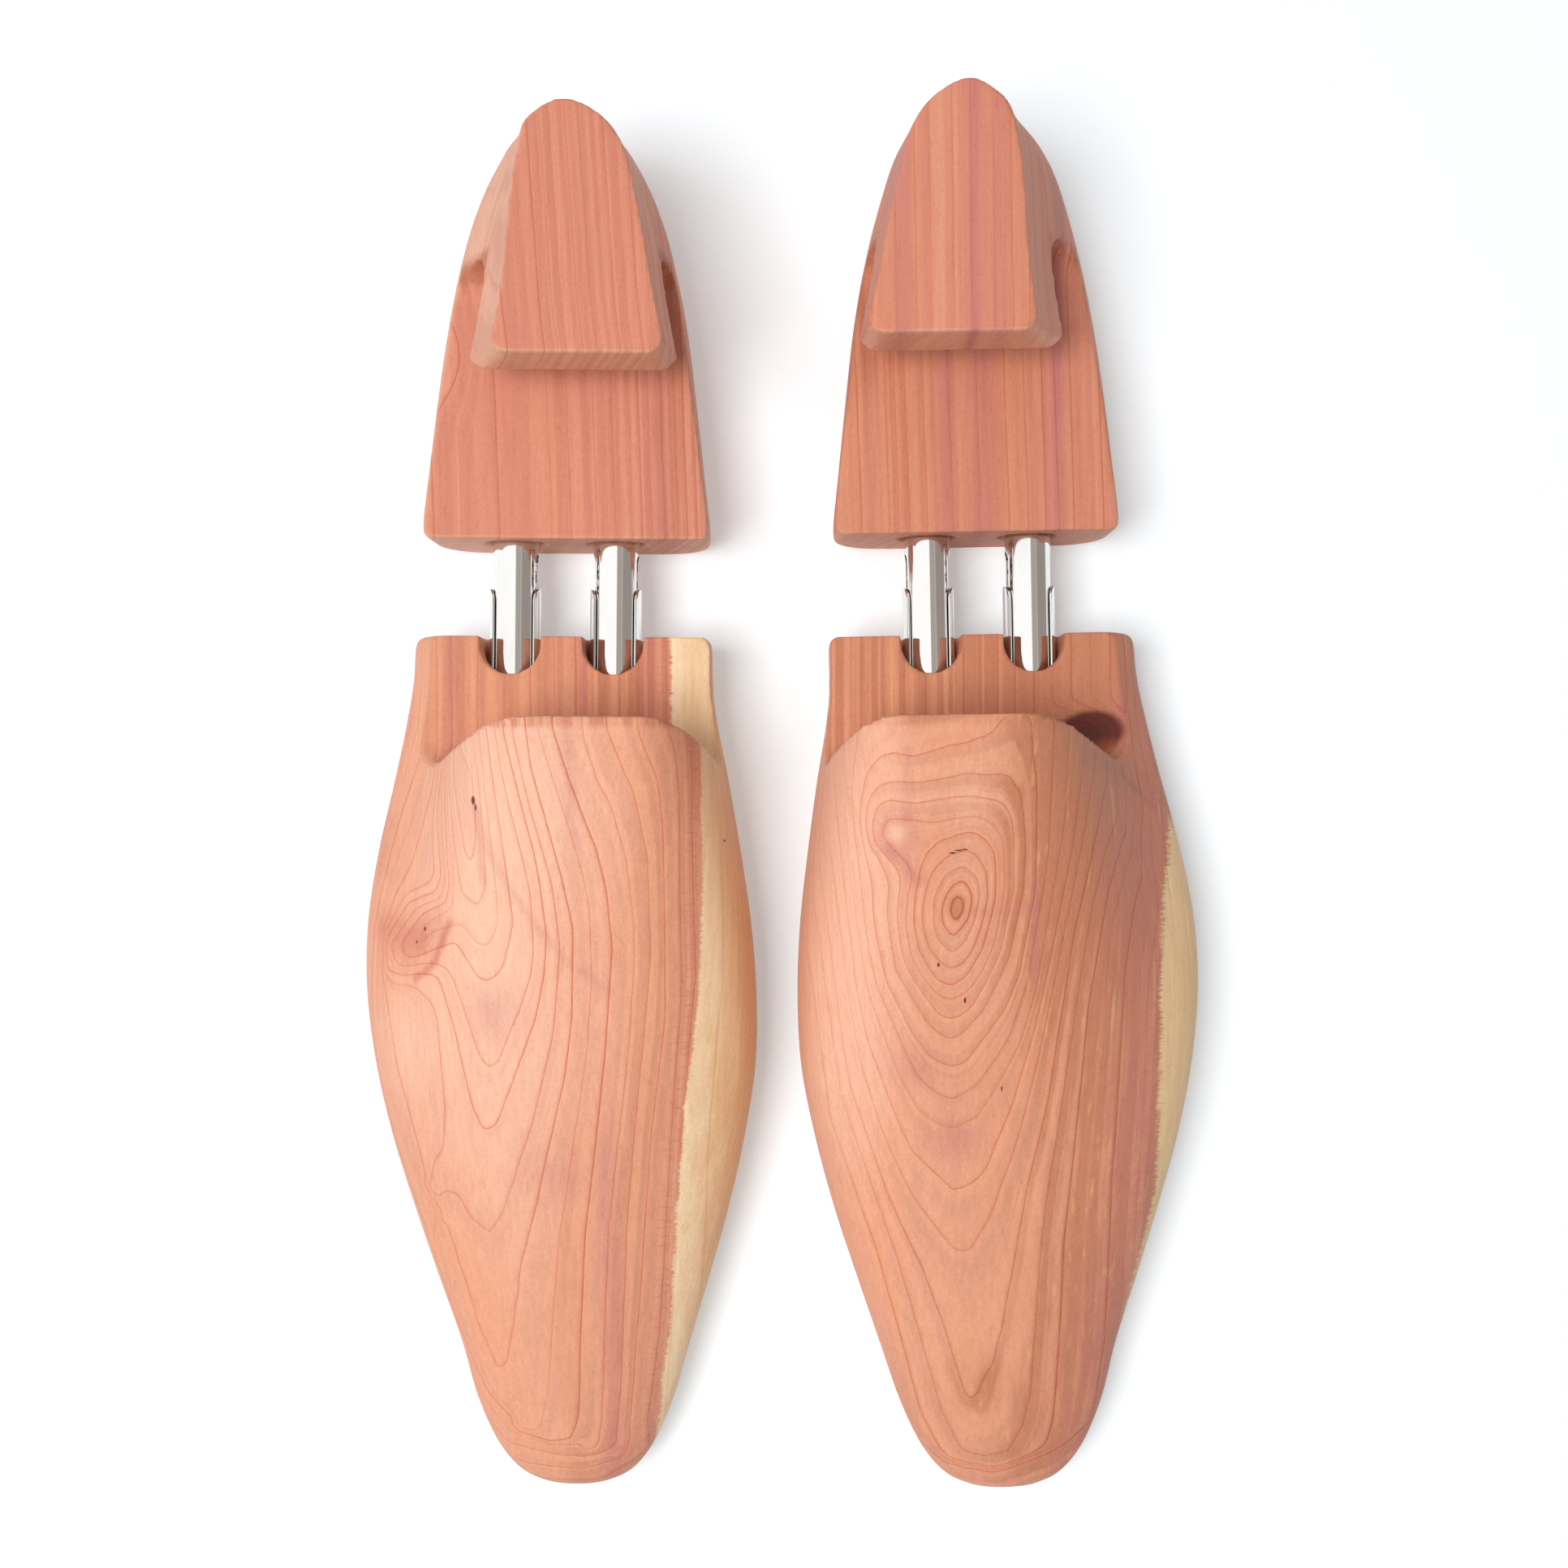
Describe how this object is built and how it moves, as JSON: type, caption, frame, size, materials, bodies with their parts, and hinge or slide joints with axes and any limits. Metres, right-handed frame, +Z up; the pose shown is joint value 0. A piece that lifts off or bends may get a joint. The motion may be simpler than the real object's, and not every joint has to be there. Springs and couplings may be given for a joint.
{
  "type": "cedar shoe tree",
  "caption": "Pair of cedar shoe trees, each a last-shaped forepart and a heel block with a pull knob, joined by sprung slotted tubes that slide in open-topped sleeves.",
  "frame": {"origin": "on the surface that the pair stands on, under the middle of the pair's box", "axes": "+Z up, +Y from the toes to the heels, +X from the tree for the right foot to the tree for the left foot"},
  "size_m": [0.1764, 0.288, 0.06],
  "materials": {
    "forepart_cedar": "sanded, unfinished red cedar",
    "heel_cedar": "sanded, unfinished red cedar",
    "tube_chrome": "bright chrome plate on steel tube",
    "sleeve_chrome": "bright chrome plate on steel sheet",
    "spring_steel": "drawn spring wire",
    "brad_steel": "plain steel",
    "pin_steel": "plain steel"
  },
  "bodies": {
    "foreparts": {"right_forepart": "forepart_cedar", "right_pivot_pin": "pin_steel", "left_forepart": "forepart_cedar", "left_pivot_pin": "pin_steel"},
    "right_sleeves": {"right_medial_sleeve": "sleeve_chrome", "right_lateral_sleeve": "sleeve_chrome", "right_medial_spring": "spring_steel", "right_lateral_spring": "spring_steel"},
    "right_heel": {"right_heel_block": "heel_cedar", "right_medial_tube": "tube_chrome", "right_lateral_tube": "tube_chrome", "right_medial_brad": "brad_steel", "right_lateral_brad": "brad_steel"},
    "left_sleeves": {"left_medial_sleeve": "sleeve_chrome", "left_lateral_sleeve": "sleeve_chrome", "left_medial_spring": "spring_steel", "left_lateral_spring": "spring_steel"},
    "left_heel": {"left_heel_block": "heel_cedar", "left_medial_tube": "tube_chrome", "left_lateral_tube": "tube_chrome", "left_medial_brad": "brad_steel", "left_lateral_brad": "brad_steel"}
  },
  "joints": [
    {"name": "right_tilt", "type": "hinge", "parent": "foreparts", "child": "right_sleeves", "pos_m": [-0.04585, 0.02556, 0.0165], "axis": [0.9999, -0.0131, 0], "range_deg": [0, 6]},
    {"name": "right_slide", "type": "slide", "parent": "right_sleeves", "child": "right_heel", "axis": [-0.0131, -0.9999, 0], "range_m": [0, 0.018], "stiffness_N_per_m": 1200, "springref_m": -0.003, "deforming": ["right_medial_spring", "right_lateral_spring"]},
    {"name": "left_tilt", "type": "hinge", "parent": "foreparts", "child": "left_sleeves", "pos_m": [0.04239, 0.02556, 0.0165], "axis": [0.9999, 0.0131, 0], "range_deg": [0, 6]},
    {"name": "left_slide", "type": "slide", "parent": "left_sleeves", "child": "left_heel", "axis": [0.0131, -0.9999, 0], "range_m": [0, 0.018], "stiffness_N_per_m": 1200, "springref_m": -0.003, "deforming": ["left_medial_spring", "left_lateral_spring"]}
  ]
}
